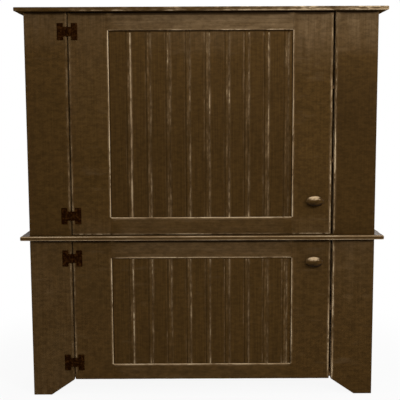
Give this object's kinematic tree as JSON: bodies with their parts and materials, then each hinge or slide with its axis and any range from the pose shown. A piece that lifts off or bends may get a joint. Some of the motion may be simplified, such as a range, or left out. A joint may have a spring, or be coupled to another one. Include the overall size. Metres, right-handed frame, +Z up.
{
  "type": "kitchen hutch",
  "caption": "Tall two-part kitchen hutch with a wide beaded door above and below, H hinges, oval knobs, shelves, bracket feet and overhanging waist and top boards.",
  "frame": {"origin": "on the floor, in the middle of the whole outline seen from above", "axes": "+X to the right seen from the front, +Y to the back, +Z up; the doors face -Y"},
  "size_m": [1.676, 0.488, 1.8],
  "materials": {
    "worn_paint_wood": "dark brown milk paint rubbed through to bare wood along the edges, satin wax",
    "inner_wood": "dark brown milk paint, matte, lightly worn",
    "back_wood": "thin dark brown stain on rough-planed boards",
    "knob_wood": "dark brown paint with a waxed sheen",
    "black_iron": "black wrought iron, oiled, slightly uneven",
    "nail_steel": "dull bright steel",
    "catch_steel": "zinc-plated steel, satin"
  },
  "bodies": {
    "case": {"top_board": "worn_paint_wood", "upper_side_left": "worn_paint_wood", "upper_side_right": "worn_paint_wood", "upper_face_left": "worn_paint_wood", "upper_face_right": "worn_paint_wood", "upper_shelf_high": "inner_wood", "upper_shelf_low": "inner_wood", "upper_shelf_cleats": "inner_wood", "top_cleats": "inner_wood", "upper_base_cleats": "inner_wood", "upper_back_boards": "back_wood", "waist_board": "worn_paint_wood", "lower_side_left": "worn_paint_wood", "lower_side_right": "worn_paint_wood", "lower_face_left": "worn_paint_wood", "lower_face_right": "worn_paint_wood", "bottom_board": "inner_wood", "lower_shelf": "inner_wood", "lower_shelf_cleats": "inner_wood", "waist_cleats": "inner_wood", "lower_back_boards": "back_wood", "upper_back_nails": "nail_steel", "lower_back_nails": "nail_steel", "upper_cleat_screws": "nail_steel", "lower_cleat_screws": "nail_steel", "upper_hinge_high_case_leaf": "black_iron", "upper_hinge_low_case_leaf": "black_iron", "lower_hinge_high_case_leaf": "black_iron", "lower_hinge_low_case_leaf": "black_iron", "upper_hinge_pins": "black_iron", "lower_hinge_pins": "black_iron", "case_leaf_screws": "black_iron", "upper_catch": "catch_steel", "lower_catch": "catch_steel"},
    "upper_door": {"upper_door_hinge_stile": "worn_paint_wood", "upper_door_knob_stile": "worn_paint_wood", "upper_door_top_rail": "worn_paint_wood", "upper_door_bottom_rail": "worn_paint_wood", "upper_door_panel_boards": "worn_paint_wood", "upper_hinge_high_door_leaf": "black_iron", "upper_hinge_low_door_leaf": "black_iron", "upper_door_leaf_screws": "black_iron", "upper_knob": "knob_wood", "upper_knob_screw": "catch_steel", "upper_strike": "catch_steel"},
    "lower_door": {"lower_door_hinge_stile": "worn_paint_wood", "lower_door_knob_stile": "worn_paint_wood", "lower_door_top_rail": "worn_paint_wood", "lower_door_bottom_rail": "worn_paint_wood", "lower_door_panel_boards": "worn_paint_wood", "lower_hinge_high_door_leaf": "black_iron", "lower_hinge_low_door_leaf": "black_iron", "lower_door_leaf_screws": "black_iron", "lower_knob": "knob_wood", "lower_knob_screw": "catch_steel", "lower_strike": "catch_steel"}
  },
  "joints": [
    {"name": "upper_door_hinge", "type": "hinge", "parent": "case", "child": "upper_door", "pos_m": [-0.60425, -0.21, 1.2735], "axis": [0, 0, -1], "range_deg": [0, 175]},
    {"name": "lower_door_hinge", "type": "hinge", "parent": "case", "child": "lower_door", "pos_m": [-0.60425, -0.21, 0.41], "axis": [0, 0, -1], "range_deg": [0, 175]}
  ]
}
